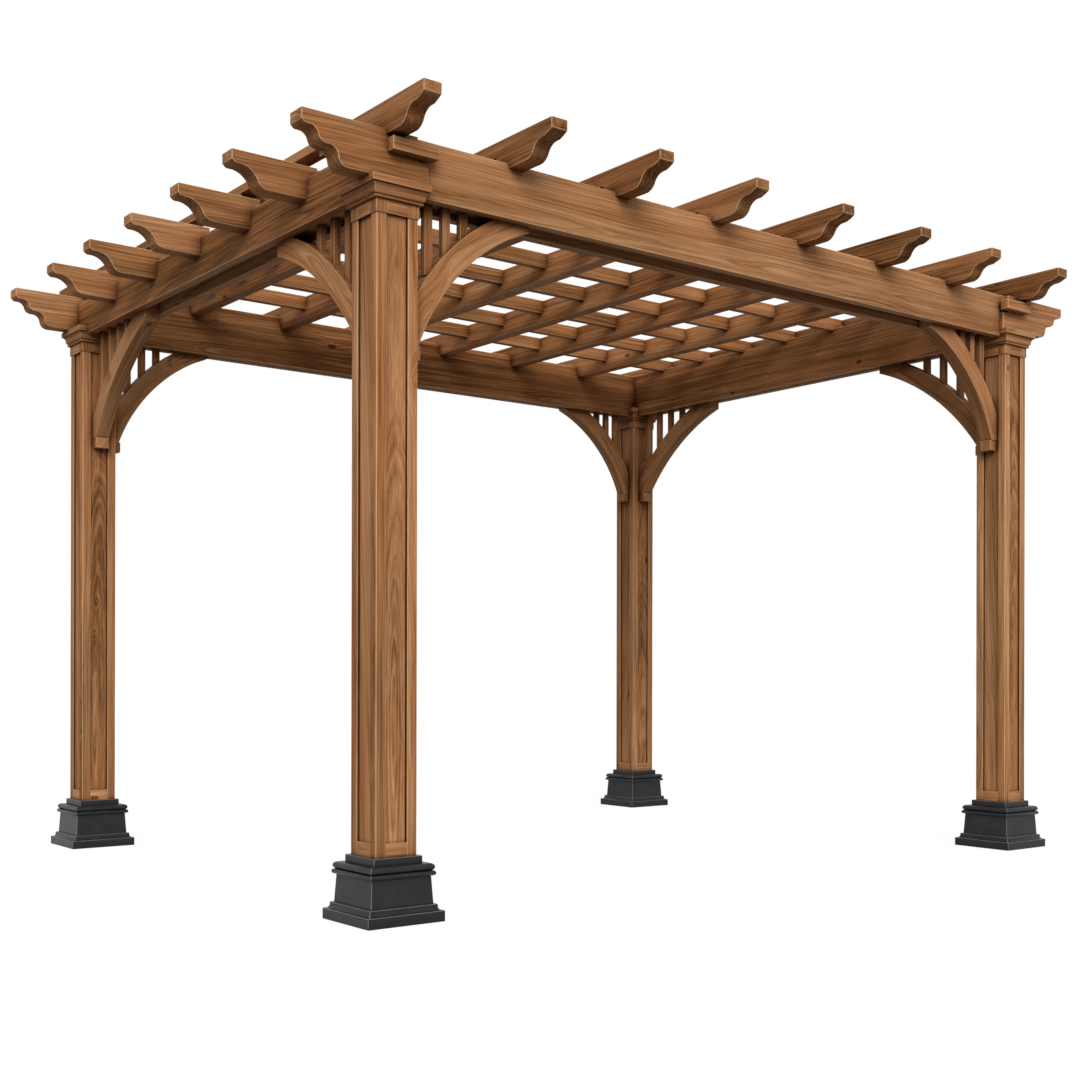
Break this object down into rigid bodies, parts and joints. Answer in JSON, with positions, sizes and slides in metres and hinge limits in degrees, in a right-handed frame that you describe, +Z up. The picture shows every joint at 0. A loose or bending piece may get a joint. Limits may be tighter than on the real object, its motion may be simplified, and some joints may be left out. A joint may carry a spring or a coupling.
{
  "type": "wooden pergola",
  "caption": "Free-standing wooden pergola on square panelled posts with moulded plinths, double beams, scrolled rafter tails, curved slatted brackets and an open lattice roof.",
  "frame": {"origin": "on the ground under the middle of the roof", "axes": "+X along the front beam, to the right seen from the front; +Y from the front beam to the back beam; +Z up"},
  "size_m": [4.32, 3.4, 2.797],
  "materials": {
    "wood": "warm brown stained softwood, satin, with fine straight grain",
    "plinth": "charcoal satin moulded trim"
  },
  "bodies": {
    "root": {"plinth_front_left": "plinth", "post_front_left": "wood", "capital_front_left": "wood", "beam_tail_front_left": "wood", "bracket_front_left_x": "wood", "bracket_front_left_y": "wood", "plinth_front_right": "plinth", "post_front_right": "wood", "capital_front_right": "wood", "beam_tail_front_right": "wood", "bracket_front_right_x": "wood", "bracket_front_right_y": "wood", "plinth_back_left": "plinth", "post_back_left": "wood", "capital_back_left": "wood", "beam_tail_back_left": "wood", "bracket_back_left_x": "wood", "bracket_back_left_y": "wood", "plinth_back_right": "plinth", "post_back_right": "wood", "capital_back_right": "wood", "beam_tail_back_right": "wood", "bracket_back_right_x": "wood", "bracket_back_right_y": "wood", "beam_front": "wood", "beam_back": "wood", "beam_left": "wood", "beam_right": "wood", "outriggers_left": "wood", "outriggers_right": "wood", "end_rafter_left": "wood", "end_rafter_right": "wood", "rafter_1": "wood", "rafter_2": "wood", "rafter_3": "wood", "rafter_4": "wood", "rafter_5": "wood", "rafter_6": "wood", "purlin_1": "wood", "purlin_2": "wood", "purlin_3": "wood", "purlin_4": "wood", "purlin_5": "wood", "purlin_6": "wood", "purlin_7": "wood"}
  },
  "joints": []
}
